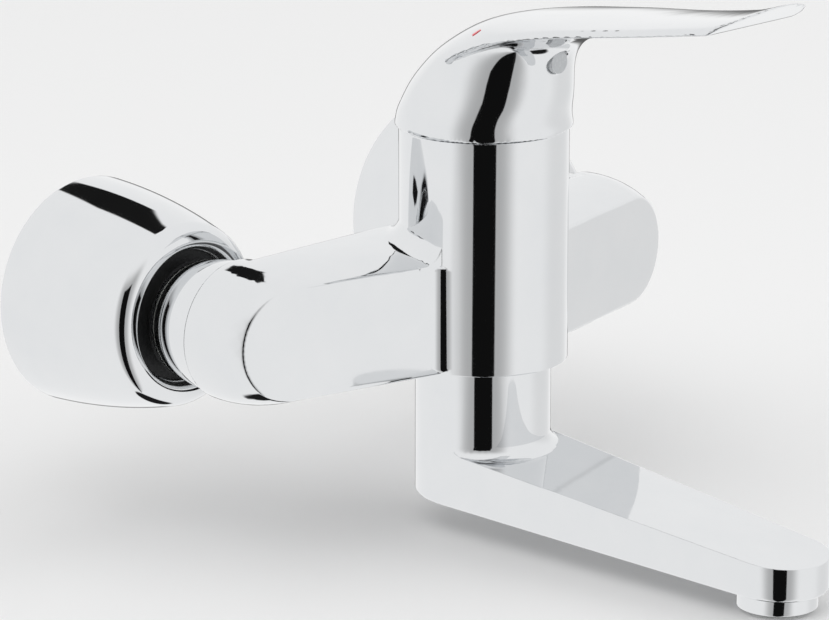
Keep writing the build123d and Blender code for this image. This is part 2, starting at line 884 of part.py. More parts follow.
def dome_cap():
    """Thin cap over the nut, open for the spindle."""
    wall = cap_wall
    low, high = barrel_rise, barrel_rise + cap_height
    foot = nut_ring_thread_radius - barrel_top_round / 2
    return profile(
        (foot, low),
        (foot, low + wall),
        (cap_top_radius, high),
        (cap_hole_radius, high),
        (cap_hole_radius, high - wall),
        (cap_top_radius - wall, high - wall),
        (foot - 2 * wall, low + wall / 2),
        (foot - 2 * wall, low),
    )


def lever_cavity():
    """Hollow of the hub that clears the barrel over the whole lift."""
    low = lever_seam_rise
    return on_axis(
        profile(
            (0, low - overrun),
            (skirt_bore_radius, low - overrun),
            (skirt_bore_radius, low + skirt_depth),
            (hub_shoulder_radius, low + hub_shoulder_depth),
            (hub_bore_radius, low + hub_bore_depth),
            (hub_roof_radius, low + hub_roof_height),
            (0, low + hub_roof_height),
        )
    )


def across_bore(radius, front, back, rise):
    """Bore or pin along the depth of the tap, between two distances from the barrel's axis."""
    pin = Rot(90, 0, 0) * rod(radius, -back, front)
    return Pos(0, -body_depth, rise) * pin


def lever_screw_back():
    """Distance from the axis at which the screw meets the spindle."""
    return spindle_width / 2


def lever():
    """Finished lever: hollow hub, spindle socket, screw bore and mark recess."""
    body = lever_blank() - lever_cavity()
    socket = spindle_square(spindle_width + 2 * socket_clearance, 0, spindle_top() + socket_depth_gap)
    body -= on_axis(socket)
    back = -lever_screw_back()
    body -= across_bore(lever_screw_radius + thread_clearance, screw_cap_forward, back, lever_screw_rise)
    cap_back = screw_cap_length - screw_cap_forward
    pocket = across_bore(screw_cap_radius, screw_cap_forward + overrun, cap_back, lever_screw_rise)
    return (body - pocket) - mark_tool()


def lever_screw():
    """Grub screw that clamps the lever on the spindle."""
    back = lever_screw_back()
    body = across_bore(lever_screw_radius, back + lever_screw_length, -back, lever_screw_rise)
    hexagon = extrude(RegularPolygon(key_radius, side_count=6), key_depth)
    key = Pos(0, -body_depth - back - lever_screw_length, lever_screw_rise) * Rot(-90, 0, 0) * hexagon
    return body - key


def screw_cap():
    """Round plug over the grub screw."""
    front = screw_cap_forward
    back = front - screw_cap_length
    plug = across_bore(screw_cap_radius - thread_clearance / 2, front, -back, lever_screw_rise)
    return plug


def mark_tool():
    """Thin body that dips into the left shoulder of the lever, square to its surface."""
    line = Axis((-mark_left, -body_depth - mark_forward, lever_seam_rise + 2 * lever_rise), (0, 0, -1))
    point, normal = lever_blank().find_intersection_points(line)[0]
    turn = math.radians(mark_turn)
    along = Vector(math.cos(turn), -math.sin(turn), 0)
    along -= normal * along.dot(normal)
    block = Box(mark_length, mark_width, 2 * mark_depth)
    return Plane(origin=point, x_dir=along, z_dir=normal) * block


def temperature_mark():
    """Coloured inlay, flush with the shoulder."""
    return mark_tool() & lever_blank()


def swivel_nipple():
    """Nipple screwed into the casting, on which the spout swings."""
    top = -body_drop
    flange = top - seat_gap - swivel_flange_thickness
    body = rod(swivel_thread_radius, top, top + swivel_thread_length)
    body += rod(swivel_flange_radius, flange, top)
    body += rod(swivel_shank_radius, -swivel_drop, flange)
    ring_bore = spout_bore_radius - running_clearance - 2 * o_ring_radius
    for drop in o_ring_drops:
        body -= ring(spout_bore_radius, ring_bore, -drop - o_ring_radius, -drop + o_ring_radius)
    glide_bore = spout_bore_radius - running_clearance - glide_ring_wall
    for drop in glide_ring_drops:
        half = glide_ring_height / 2
        body -= ring(spout_bore_radius, glide_bore, -drop - half, -drop + half)
    half = lock_groove_width / 2
    body -= ring(spout_bore_radius, lock_groove_radius, -lock_groove_drop - half, -lock_groove_drop + half)
    return body - rod(swivel_bore_radius, -swivel_drop - overrun, top + swivel_thread_length + overrun)


def nipple_o_rings():
    """Two rubber rings that seal the spout on its nipple."""
    centre = spout_bore_radius - running_clearance - o_ring_radius
    rings = [Pos(0, 0, -drop) * Torus(centre, o_ring_radius) for drop in o_ring_drops]
    return Compound(children=rings)


def glide_rings():
    """Two plastic rings that guide the spout on its nipple."""
    half = glide_ring_height / 2
    outer = spout_bore_radius - running_clearance
    rings = [ring(outer, outer - glide_ring_wall, -drop - half, -drop + half) for drop in glide_ring_drops]
    return Compound(children=rings)


def spout_outline(radius_foot, radius_tip):
    """Plan of the spout: two round ends joined by their tangent lines."""
    lean = math.asin((radius_foot - radius_tip) / spout_reach)
    foot_x, foot_y = radius_foot * math.cos(lean), -body_depth - radius_foot * math.sin(lean)
    tip_y = -body_depth - spout_reach
    tip_x, tip_end = radius_tip * math.cos(lean), tip_y - radius_tip * math.sin(lean)
    return make_face(
        Curve()
        + [
            Line((foot_x, foot_y), (tip_x, tip_end)),
            ThreePointArc((tip_x, tip_end), (0, tip_y - radius_tip), (-tip_x, tip_end)),
            Line((-tip_x, tip_end), (-foot_x, foot_y)),
            ThreePointArc((-foot_x, foot_y), (0, radius_foot - body_depth), (foot_x, foot_y)),
        ]
    )


def side_slab(back, front, back_top, front_top, back_bottom, front_bottom):
    """Slab across the tap, bounded above and below by two sloping planes."""
    points = [(0, back, back_bottom), (0, front, front_bottom), (0, front, front_top), (0, back, back_top)]
    face = Face(Wire.make_polygon(points, close=True))
    return Pos(-2 * spout_foot_radius, 0, 0) * extrude(face, 4 * spout_foot_radius, dir=(1, 0, 0))


def sloped(level_foot, level_tip, distance):
    """Height at a distance ahead of the barrel's axis on a line through foot and tip levels."""
    return -(level_foot + (level_tip - level_foot) * distance / spout_reach)


def spout():
    """Swivel spout: round foot, hollow arm and outlet."""
    back = spout_foot_radius + overrun
    front = spout_reach + spout_tip_radius + overrun
    body = side_slab(
        back - body_depth,
        -front - body_depth,
        sloped(spout_arm_drop, spout_tip_drop, -back),
        sloped(spout_arm_drop, spout_tip_drop, front),
        sloped(spout_bottom_drop, spout_tip_bottom_drop, -back),
        sloped(spout_bottom_drop, spout_tip_bottom_drop, front),
    )
    top = -body_drop - spout_top_gap
    body += spout_collar()
    body += on_axis(rod(spout_foot_radius + collar_sink / 4, -spout_tip_drop, top))
    body = body & raised(spout_outline(spout_foot_radius, spout_tip_radius), -2 * spout_bottom_drop, top)
    low_edges = body.faces().sort_by(Axis.Z)[0].edges()
    body = fillet(low_edges, spout_bottom_round)
    body -= on_axis(rod(spout_bore_radius, spout_floor - spout_bottom_drop, 0))
    body -= spout_duct()
    return body - at_outlet(outlet_bore()) - across_bore(lock_screw_radius, 0, back, -lock_groove_drop)


def spout_collar():
    """Hollow blend between the upright foot and the top of the arm."""
    width = spout_neck_fillet
    reach = spout_foot_radius + width
    low = sloped(spout_arm_drop, spout_tip_drop, reach) - collar_sink
    high = sloped(spout_arm_drop, spout_tip_drop, spout_foot_radius) + width
    inner = spout_foot_radius - spout_bottom_round
    start = spout_foot_radius - collar_sink
    bend_x = start + (reach - start) * (1 - math.sqrt(0.5))
    bend_z = high - (high - low) * math.sqrt(0.5)
    foot = low - width
    return on_axis(
        turned(
            Line((inner, high), (start, high)),
            ThreePointArc((start, high), (bend_x, bend_z), (reach, low)),
            Line((reach, low), (reach, foot)),
            Line((reach, foot), (inner, foot)),
            Line((inner, foot), (inner, high)),
        )
    )


def spout_duct():
    """Water way along the arm."""
    start = Vector(0, -body_depth, -spout_duct_drop)
    end = Vector(0, -body_depth - spout_reach, -spout_duct_tip_drop)
    run = end - start
    plane = Plane(origin=start, z_dir=run)
    return extrude(plane * Circle(spout_duct_radius), run.length)


def at_outlet(shape):
    """Puts an upright piece on the axis of the outlet, its origin at the lower face of the spout."""
    return Pos(0, -body_depth - spout_reach, -spout_tip_bottom_drop) * shape


def outlet_chamber():
    """Height of the outlet thread above the lower face of the spout."""
    return aerator_thread_length + seat_gap + gasket_thickness


def outlet_bore():
    """Threaded bore for the aerator."""
    return rod(aerator_thread_radius + thread_clearance, -overrun, outlet_chamber())


def aerator_housing():
    """Threaded ring that holds the aerator."""
    body = rod(aerator_thread_radius, 0, aerator_thread_length)
    body += rod(aerator_ring_radius, -aerator_ring_length, -2 * seat_gap)
    body += rod(aerator_thread_radius, -3 * seat_gap, 0)
    body -= rod(aerator_bore_radius, aerator_lip - aerator_ring_length, aerator_thread_length + overrun)
    return body - rod(aerator_bore_radius - aerator_lip, -aerator_ring_length - overrun, 0)


def aerator_insert():
    """Jet insert with a ring of holes."""
    low = aerator_lip - aerator_ring_length
    body = rod(aerator_bore_radius - thread_clearance, low, low + aerator_insert_length)
    hole = Pos(aerator_hole_circle, 0, 0) * rod(aerator_hole_radius, low - overrun, overrun)
    for count in range(aerator_insert_holes):
        body -= Rot(0, 0, 360 / aerator_insert_holes * count) * hole
    return body


def aerator_gasket():
    """Flat rubber ring above the aerator."""
    low = aerator_thread_length
    return ring(aerator_thread_radius, aerator_bore_radius, low, low + gasket_thickness)


def spout_screw():
    """Grub screw whose tip runs in the groove of the nipple."""
    tip = lock_groove_radius + seat_gap
    head = spout_bore_radius + seat_gap
    pin = across_bore(lock_pin_radius, -tip, head, -lock_groove_drop)
    back = spout_foot_radius - seat_gap
    screw = across_bore(lock_screw_radius - thread_clearance, -head, back, -lock_groove_drop)
    return pin + screw


if __name__ == "__main__":
    for side, word in side_names.items():
        save(f"rosette_{word}", at_inlet(side, rosette()))
        save(f"rosette_ring_{word}", at_inlet(side, rosette_ring()))
        save(f"s_union_{word}", at_inlet(side, s_union()))
        save(f"union_nut_{word}", at_inlet(side, union_nut()))
        save(f"inlet_nipple_{word}", at_inlet(side, inlet_nipple()))
        save(f"sieve_washer_{word}", at_inlet(side, sieve_washer()))
        save(f"check_valve_{word}", at_inlet(side, check_valve()))
    save("mixer_body", mixer_body())
    save("cartridge_base", on_axis(cartridge_base()))
    save("base_seals", on_axis(base_seals()))
    save("fixed_disc", on_axis(fixed_disc()))
    save("moving_disc", on_axis(moving_disc()))
    save("disc_carrier", on_axis(disc_carrier()))
    save("cartridge_housing", on_axis(cartridge_housing()))
    save("cartridge_rotor", on_axis(cartridge_rotor()))
    save("cartridge_spindle", on_axis(cartridge_spindle()))
    save("spindle_pin", on_axis(spindle_pin()))
    save("limiter_ring", on_axis(limiter_ring()))
    save("cartridge_nut", on_axis(cartridge_nut()))
    save("dome_cap", on_axis(dome_cap()))
    save("lever", lever())
    save("lever_screw", lever_screw())
    save("screw_cap", screw_cap())
    save("temperature_mark", temperature_mark())
    save("swivel_nipple", on_axis(swivel_nipple()))
    save("nipple_o_rings", on_axis(nipple_o_rings()))
    save("glide_rings", on_axis(glide_rings()))
    save("spout", spout())
    save("spout_screw", spout_screw())
    save("aerator_housing", at_outlet(aerator_housing()))
    save("aerator_insert", at_outlet(aerator_insert()))
    save("aerator_gasket", at_outlet(aerator_gasket()))
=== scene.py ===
"""Elbow lever tap for a wall: chrome plate, its small coloured parts, and a pale studio floor."""

import json
import math

import bmesh
import bpy
from bpy.props import FloatProperty, FloatVectorProperty, PointerProperty
from mathutils import Matrix, Vector

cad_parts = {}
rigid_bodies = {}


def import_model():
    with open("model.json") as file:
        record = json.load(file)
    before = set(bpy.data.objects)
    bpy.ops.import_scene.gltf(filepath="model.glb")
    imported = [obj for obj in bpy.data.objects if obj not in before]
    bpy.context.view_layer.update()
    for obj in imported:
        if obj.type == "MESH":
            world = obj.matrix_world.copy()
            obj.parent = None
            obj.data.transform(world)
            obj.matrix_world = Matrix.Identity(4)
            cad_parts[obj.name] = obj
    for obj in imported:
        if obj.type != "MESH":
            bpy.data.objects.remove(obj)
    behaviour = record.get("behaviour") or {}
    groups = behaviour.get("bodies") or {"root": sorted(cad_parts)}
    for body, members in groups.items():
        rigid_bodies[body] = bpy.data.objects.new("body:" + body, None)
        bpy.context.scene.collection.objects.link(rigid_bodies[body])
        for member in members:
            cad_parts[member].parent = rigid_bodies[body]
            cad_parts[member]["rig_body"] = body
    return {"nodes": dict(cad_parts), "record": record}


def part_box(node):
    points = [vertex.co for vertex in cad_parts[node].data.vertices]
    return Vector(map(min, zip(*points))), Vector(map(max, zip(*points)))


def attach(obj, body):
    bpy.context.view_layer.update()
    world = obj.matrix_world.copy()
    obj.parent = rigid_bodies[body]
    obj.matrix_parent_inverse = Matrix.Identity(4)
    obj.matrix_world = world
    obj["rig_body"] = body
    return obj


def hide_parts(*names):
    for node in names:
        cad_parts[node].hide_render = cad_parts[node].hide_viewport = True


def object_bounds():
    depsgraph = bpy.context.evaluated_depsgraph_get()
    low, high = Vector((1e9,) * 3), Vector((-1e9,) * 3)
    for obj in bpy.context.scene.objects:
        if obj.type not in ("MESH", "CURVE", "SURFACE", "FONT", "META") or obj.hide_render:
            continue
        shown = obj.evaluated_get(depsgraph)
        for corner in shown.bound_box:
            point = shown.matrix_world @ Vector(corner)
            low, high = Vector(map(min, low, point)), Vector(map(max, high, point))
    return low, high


bl_info = {
    "name": "Elbow lever tap",
    "version": (1, 0, 0),
    "blender": (4, 5, 0),
    "location": "3D View > Sidebar > Tap",
    "description": "Dresses the packed elbow lever tap and sets it on a pale floor",
    "category": "Object",
}

for startup_object in list(bpy.data.objects):
    bpy.data.objects.remove(startup_object)
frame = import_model()
cad_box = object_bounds()

MM = 0.001

SIDES = ("left", "right")
SLOT_OF = {part["node"]: part["material_slot"] for part in frame["record"]["subparts"]}

# Meshes: gap closed between loose triangles, steps of a full turn and of a profile's arc, and the
# angles in degrees above which cast and turned edges stay sharp
MERGE_DISTANCE = 0.002 * MM
SPIN_STEPS = 128
ARC_STEPS = 20
CAST_SHARP_ANGLE = 28
TURNED_SHARP_ANGLE = 30

# Buffing of the lever: size of its even mesh, and how strongly and how often that is smoothed
BUFF_GRAIN = 0.56 * MM
BUFF_FACTOR = 0.5
BUFF_PASSES = 34


def linear(colour):
    """Linear red, green, blue and alpha of an sRGB hex colour."""
    shares = [int(colour[at : at + 2], 16) / 255 for at in (0, 2, 4)]
    return [s / 12.92 if s <= 0.04045 else ((s + 0.055) / 1.055) ** 2.4 for s in shares] + [1.0]


# Real finishes, one material each

# Noise: its roughness, the part of its range that is spread, and its detail from fine to cloudy
NOISE_ROUGHNESS = 0.55
NOISE_LOW, NOISE_HIGH = 0.35, 0.65
FINE_DETAIL = 2.0
CLOUD_DETAIL = 3.0
HAZE_DETAIL = 4.0
TARNISH_DETAIL = 5.0

# Sizes across of the uneven tones, and of the wiping marks in the chrome with their depth
CLOUD_SIZE = 8 * MM
TARNISH_SIZE = 9 * MM
HAZE_SIZE = 14 * MM
STREAK_SIZE = 1.2 * MM
STREAK_DEPTH = 0.0006 * MM
STREAK_STRETCH = (1.0, 0.25, 1.0)

# Lowest and highest roughness, as shares of the nominal one
CHROME_HAZE = 2.0
METAL_ROUGHNESS = (0.8, 1.3)
MOULDED_ROUGHNESS = (0.85, 1.2)

BEVEL_SAMPLES = 8

# The mix node's sockets for colours, which share their names with those for numbers
MIX_SHARE, MIX_FIRST, MIX_SECOND, MIX_RESULT = 0, 6, 7, 2


def add_node(tree, kind, settings=None, links=None):
    """Adds a node with its settings or socket values, and its incoming links."""
    node = tree.nodes.new(kind)
    for key, value in (settings or {}).items():
        if isinstance(key, int) or key in node.inputs:
            node.inputs[key].default_value = value
        else:
            setattr(node, key, value)
    for socket, source in (links or {}).items():
        tree.links.new(source, node.inputs[socket])
    return node


def new_material(name, settings):
    """An empty material with its shader, and the place on the object."""
    made = bpy.data.materials.new(name)
    made.use_nodes = True
    tree = made.node_tree
    tree.nodes.clear()
    shader = add_node(tree, "ShaderNodeBsdfPrincipled", settings)
    add_node(tree, "ShaderNodeOutputMaterial", links={"Surface": shader.outputs[0]})
    place = add_node(tree, "ShaderNodeTexCoord").outputs["Object"]
    return made, tree, shader, place


def noise(tree, place, size, detail):
    """Noise whose lumps are about the given size across."""
    settings = {"Scale": 1 / size, "Detail": detail, "Roughness": NOISE_ROUGHNESS}
    return add_node(tree, "ShaderNodeTexNoise", settings, {"Vector": place}).outputs["Fac"]


def stretched(tree, place, scale):
    """The place on the object, scaled along its axes."""
    return add_node(tree, "ShaderNodeMapping", {"Scale": scale}, {"Vector": place}).outputs[0]


def spread(tree, value, low, high):
    """A noise value spread over the range from low to high."""
    settings = {"From Min": NOISE_LOW, "From Max": NOISE_HIGH, "To Min": low, "To Max": high}
    return add_node(tree, "ShaderNodeMapRange", settings, {"Value": value}).outputs["Result"]


def mixed(tree, share, first, second):
    """A colour between two colours."""
    settings = {"data_type": "RGBA", MIX_FIRST: first, MIX_SECOND: second}
    return add_node(tree, "ShaderNodeMix", settings, {MIX_SHARE: share}).outputs[MIX_RESULT]


def relief(tree, height, depth, edge=0.0):
    """Normals of a fine surface relief, over edges that are rounded a little."""
    links = {"Height": height}
    if edge:
        rounding = {"samples": BEVEL_SAMPLES, "Radius": edge}
        links["Normal"] = add_node(tree, "ShaderNodeBevel", rounding).outputs[0]
    return add_node(tree, "ShaderNodeBump", {"Strength": 1.0, "Distance": depth}, links).outputs[0]


def surface(tree, shader, tone, roughness, normal):
    """Links a finish's colour, roughness and relief to its shader."""
    tree.links.new(tone, shader.inputs["Base Color"])
    tree.links.new(roughness, shader.inputs["Roughness"])
    tree.links.new(normal, shader.inputs["Normal"])


def chrome_plate():
    """Bright chromium on polished brass: a mirror with a faint haze from years of wiping."""
    finish = bpy.context.scene.tap_finish
    made, tree, shader, place = new_material("bright_chrome_plate", {"Metallic": 1.0})
    haze = noise(tree, place, HAZE_SIZE, HAZE_DETAIL)
    streak = noise(tree, stretched(tree, place, STREAK_STRETCH), STREAK_SIZE, FINE_DETAIL)
    gloss = spread(tree, haze, finish.chrome_roughness, CHROME_HAZE * finish.chrome_roughness)
    tone = mixed(tree, haze, linear("dddfe1"), linear("e4e5e6"))
    surface(tree, shader, tone, gloss, relief(tree, streak, STREAK_DEPTH, finish.edge_round))
    return made


def plain_metal(name, light, dark, rough, grain, stretch, depth):
    """A machined metal with turning marks across its length and a slightly uneven tone."""
    made, tree, shader, place = new_material(name, {"Metallic": 1.0})
    marks = noise(tree, stretched(tree, place, stretch), grain, FINE_DETAIL)
    tarnish = noise(tree, place, TARNISH_SIZE, TARNISH_DETAIL)
    tone = mixed(tree, tarnish, linear(dark), linear(light))
    gloss = spread(tree, marks, *(share * rough for share in METAL_ROUGHNESS))
    surface(tree, shader, tone, gloss, relief(tree, marks, depth))
    return made


def turned_brass():
    """Bare turned brass: warm yellow, half bright, with fine tool marks."""
    return plain_metal(
        "turned_brass",
        light="d9b46a",
        dark="b98f4a",
        rough=0.28,
        grain=0.5 * MM,
        stretch=(1.0, 6.0, 1.0),
        depth=0.004 * MM,
    )


def nickel_plated_brass():
    """Plated wall union: cool grey metal with the turning marks still showing under the plate."""
    return plain_metal(
        "nickel_plated_brass",
        light="cfcfca",
        dark="b3b1a9",
        rough=0.24,
        grain=0.5 * MM,
        stretch=(1.0, 6.0, 1.0),
        depth=0.004 * MM,
    )


def stainless_steel():
    """Drawn stainless steel of the spindle and the screws: grey, satin."""
    return plain_metal(
        "drawn_stainless_steel",
        light="bfc1c2",
        dark="9c9fa1",
        rough=0.3,
        grain=0.4 * MM,
        stretch=(6.0, 6.0, 1.0),
        depth=0.003 * MM,
    )


def moulded(name, light, dark, rough, grain, depth, extra):
    """A moulded material: an even colour with faint flow clouds and the fine grain of its mould."""
    made, tree, shader, place = new_material(name, extra)
    cloud = noise(tree, place, CLOUD_SIZE, CLOUD_DETAIL)
    skin = noise(tree, place, grain, FINE_DETAIL)
    tone = mixed(tree, cloud, linear(dark), linear(light))
    gloss = spread(tree, skin, *(share * rough for share in MOULDED_ROUGHNESS))
    surface(tree, shader, tone, gloss, relief(tree, skin, depth))
    return made


def grey_acetal():
    """Grey acetal of the cartridge and the guide rings: waxy, half matt."""
    return moulded(
        "grey_acetal",
        light="a3a6a8",
        dark="94979a",
        rough=0.42,
        grain=0.6 * MM,
        depth=0.006 * MM,
        extra={"IOR": 1.48},
    )


def black_polyamide():
    """Glass filled black polyamide: nearly matt, with a fine grain."""
    return moulded(
        "black_glass_filled_polyamide",
        light="242527",
        dark="1a1b1c",
        rough=0.55,
        grain=0.4 * MM,
        depth=0.01 * MM,
        extra={"IOR": 1.53},
    )


def white_acetal():
    """Natural white acetal of the aerator and the valves: milky and smooth."""
    return moulded(
        "natural_white_acetal",
        light="e6e6e1",
        dark="dcdcd6",
        rough=0.38,
        grain=0.6 * MM,
        depth=0.005 * MM,
        extra={"IOR": 1.48, "Subsurface Weight": 0.15, "Subsurface Scale": 1.5 * MM},
    )


def glossy_grey_abs():
    """Plug of pale grey ABS with a gloss skin: even beside the chrome, with soft highlights."""
    return moulded(
        "glossy_grey_abs",
        light="d2d5d7",
        dark="c8cbce",
        rough=0.24,
        grain=0.8 * MM,
        depth=0.003 * MM,
        extra={"IOR": 1.53, "Coat Weight": 0.4, "Coat Roughness": 0.08},
    )


def red_enamel():
    """Red enamel filled into its slot: saturated and glassy, faintly uneven from hardening."""
    return moulded(
        "filled_red_enamel",
        light="e23a4a",
        dark="d22c3e",
        rough=0.2,
        grain=0.7 * MM,
        depth=0.004 * MM,
        extra={"IOR": 1.52, "Coat Weight": 0.6, "Coat Roughness": 0.05},
    )


def alumina_ceramic():
    """Lapped alumina discs: off white, very even, satin."""
    return moulded(
        "lapped_alumina_ceramic",
        light="efece4",
        dark="e4e0d6",
        rough=0.22,
        grain=0.2 * MM,
        depth=0.002 * MM,
        extra={"IOR": 1.76},
    )


def nitrile_rubber():
    """Black nitrile rubber of the seals: matt with a dusty bloom."""
    return moulded(
        "black_nitrile_rubber",
        light="2b2b2a",
        dark="1c1c1c",
        rough=0.7,
        grain=0.5 * MM,
        depth=0.012 * MM,
        extra={"IOR": 1.5},
    )


FINISHES = {
    "chrome": chrome_plate,
    "brass": turned_brass,
    "plated_brass": nickel_plated_brass,
    "steel": stainless_steel,
    "grey_plastic": grey_acetal,
    "black_plastic": black_polyamide,
    "white_plastic": white_acetal,
    "grey_gloss": glossy_grey_abs,
    "red_enamel": red_enamel,
    "ceramic": alumina_ceramic,
    "rubber": nitrile_rubber,
}
made_finishes = {}


def finish_for(slot):
    """The material of one of the record's slots, made when it is first asked for."""
    if slot not in made_finishes:
        made_finishes[slot] = FINISHES[slot]()
    return made_finishes[slot]


# Meshes


def shown_piece(name, mesh, node):
    """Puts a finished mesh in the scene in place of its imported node."""
    piece = bpy.data.objects.new(name, mesh)
    bpy.context.scene.collection.objects.link(piece)
    mesh.materials.clear()
    mesh.materials.append(finish_for(SLOT_OF[node]))
    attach(piece, frame["nodes"][node]["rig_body"])
    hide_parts(node)
    return piece


def smooth_mesh(shape, name, sharp_angle):
    """Writes a bmesh out as a mesh that shades smoothly up to the sharp angle."""
    mesh = bpy.data.meshes.new(name)
    shape.to_mesh(mesh)
    shape.free()
    if "custom_normal" in mesh.attributes:
        mesh.attributes.remove(mesh.attributes["custom_normal"])
    mesh.polygons.foreach_set("use_smooth", [True] * len(mesh.polygons))
    mesh.set_sharp_from_angle(angle=math.radians(sharp_angle))
    return mesh


def welded_copy(node, name):
    """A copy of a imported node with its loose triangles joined."""
    shape = bmesh.new()
    shape.from_mesh(frame["nodes"][node].data)
    bmesh.ops.remove_doubles(shape, verts=shape.verts, dist=MERGE_DISTANCE)
    return shown_piece(name, smooth_mesh(shape, name, CAST_SHARP_ANGLE), node)


def polished_copy(node, name):
    """A joined copy whose normals follow its large faces, so that mirrors stay clean."""
    piece = welded_copy(node, name)
    weighted = piece.modifiers.new("face_weighted_normals", "WEIGHTED_NORMAL")
    weighted.keep_sharp = True


def buffed_copy(node, name):
    """A joined copy of a free-form casting, remeshed evenly and with its edges buffed round."""
    piece = welded_copy(node, name)
    even = piece.modifiers.new("even_mesh", "REMESH")
    even.mode = "VOXEL"
    even.voxel_size = BUFF_GRAIN
    even.use_smooth_shade = True
    buffed = piece.modifiers.new("buffed", "SMOOTH")
    buffed.factor = BUFF_FACTOR
    buffed.iterations = BUFF_PASSES


def arc_through(start, middle, end):
    """Centre of the circle through three points of a profile, and the angle from first to last."""
    (ax, az), (bx, bz), (cx, cz) = start, middle, end
    twice = 2 * (ax * (bz - cz) + bx * (cz - az) + cx * (az - bz))
    squares = [x * x + z * z for x, z in (start, middle, end)]
    centre_x = (squares[0] * (bz - cz) + squares[1] * (cz - az) + squares[2] * (az - bz)) / twice
    centre_z = (squares[0] * (cx - bx) + squares[1] * (ax - cx) + squares[2] * (bx - ax)) / twice
    turns = [math.atan2(x - centre_x, z - centre_z) for x, z in (start, end)]
    angle = (turns[1] - turns[0] + math.pi) % (2 * math.pi) - math.pi
    return (centre_x, centre_z), angle


def turned_shape(path):
    """Closed profile of radius and height in millimetres, spun about the upright axis.

    A step of two numbers is a straight line to that point, one of four an arc through the
    first point to the second."""
    shape = bmesh.new()
    here = path[0]
    tip = first = shape.verts.new((here[0] * MM, 0, here[1] * MM))
    for step in path[1:]:
        end = step[-2:]
        if len(step) == 2:
            new = shape.verts.new((end[0] * MM, 0, end[1] * MM))
            shape.edges.new((tip, new))
            tip = new
        else:
            centre, angle = arc_through(here, step[:2], end)
            arc = bmesh.ops.spin(
                shape,
                geom=[tip],
                cent=(centre[0] * MM, 0, centre[1] * MM),
                axis=(0, 1, 0),
                angle=angle,
                steps=ARC_STEPS,
            )
            tip = next(part for part in arc["geom_last"] if isinstance(part, bmesh.types.BMVert))
        here = end
    shape.edges.new((tip, first))
    bmesh.ops.spin(
        shape,
        geom=shape.verts[:] + shape.edges[:],
        cent=(0, 0, 0),
        axis=(0, 0, 1),
        angle=2 * math.pi,
        steps=SPIN_STEPS,
        use_merge=True,
    )
    bmesh.ops.remove_doubles(shape, verts=shape.verts, dist=MERGE_DISTANCE)
    bmesh.ops.recalc_face_normals(shape, faces=shape.faces)
    return shape


def at_inlet(shape, side):
    """Lays an upright turned shape along an inlet's axis, its foot on the wall."""
    low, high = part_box(f"rosette_{side}")
    centre = (low + high) / 2
    centre.y = high.y
    turn = Matrix.Rotation(math.pi / 2, 4, "X")
    bmesh.ops.transform(shape, matrix=Matrix.Translation(centre) @ turn, verts=shape.verts)
    return shape


def turned_piece(name, node, path, side):
    """A turned piece on an inlet's axis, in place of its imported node."""
    shape = at_inlet(turned_shape(path), side)
    shown_piece(name, smooth_mesh(shape, name, TURNED_SHARP_ANGLE), node)


# Wall cover, in millimetres: each pair is a radius from the inlet's axis and a depth from the wall
COVER_WALL = 1.2
COVER_RIM = 34.9
COVER_BOW = (32.75, 21.6)
COVER_SHOULDER = (28.34, 41.97)
COVER_LIP = (26.24, 45.34)
COVER_FRONT = (22.4, 46.7)
COVER_BEAD = (21.55, 46.42)
COVER_DISH = (21.1, 45.6)
COVER_DISH_FOOT = (20.35, 43.9)
COVER_SLEEVE_EDGE = (20.05, 43.6)
COVER_SLEEVE = (20.0, 43.1)
COVER_SLEEVE_END = 35.7
COVER_SLEEVE_BACK = 42.5
COVER_LIP_INSIDE = (22.6, 45.2)
COVER_SHOULDER_INSIDE = (26.9, 41.6)


def wall_cover_profile():
    """Bell with a bowed side, a full round lip, a dished front and an inner sleeve."""
    bow, bow_depth = COVER_BOW
    bore = COVER_SLEEVE[0]
    return (
        (COVER_RIM, 0.0),
        COVER_BOW + COVER_SHOULDER,
        COVER_LIP + COVER_FRONT,
        COVER_BEAD + COVER_DISH,
        COVER_DISH_FOOT,
        COVER_SLEEVE_EDGE + COVER_SLEEVE,
        (bore, COVER_SLEEVE_END),
        (bore + COVER_WALL, COVER_SLEEVE_END),
        (bore + COVER_WALL, COVER_SLEEVE_BACK),
        COVER_LIP_INSIDE,
        COVER_SHOULDER_INSIDE,
        (bow - COVER_WALL, bow_depth, COVER_RIM - COVER_WALL, 0.0),
    )


# Nut, in millimetres, in the same way; each broken edge is the start, middle and end of its round
NUT_BORE = 13.27
NUT_SEAT = 62.0
NUT_THROAT = 10.6
NUT_BACK_EDGE = ((17.2, 47.0), (17.55, 47.15), (17.7, 47.5))
NUT_WAIST = (19.35, 56.3)
NUT_FRONT_EDGE = ((20.2, 65.2), (20.15, 65.5), (19.8, 65.7))


def nut_profile():
    """Smooth nut, waisted towards the wall, with broken edges."""
    back_start, back_middle, back_end = NUT_BACK_EDGE
    front_start, front_middle, front_end = NUT_FRONT_EDGE
    return (
        (NUT_BORE, back_start[1]),
        back_start,
        back_middle + back_end,
        NUT_WAIST + front_start,
        front_middle + front_end,
        (NUT_THROAT, front_end[1]),
        (NUT_THROAT, NUT_SEAT),
        (NUT_BORE, NUT_SEAT),
    )


# The tool's settings and one operator for each group of pieces


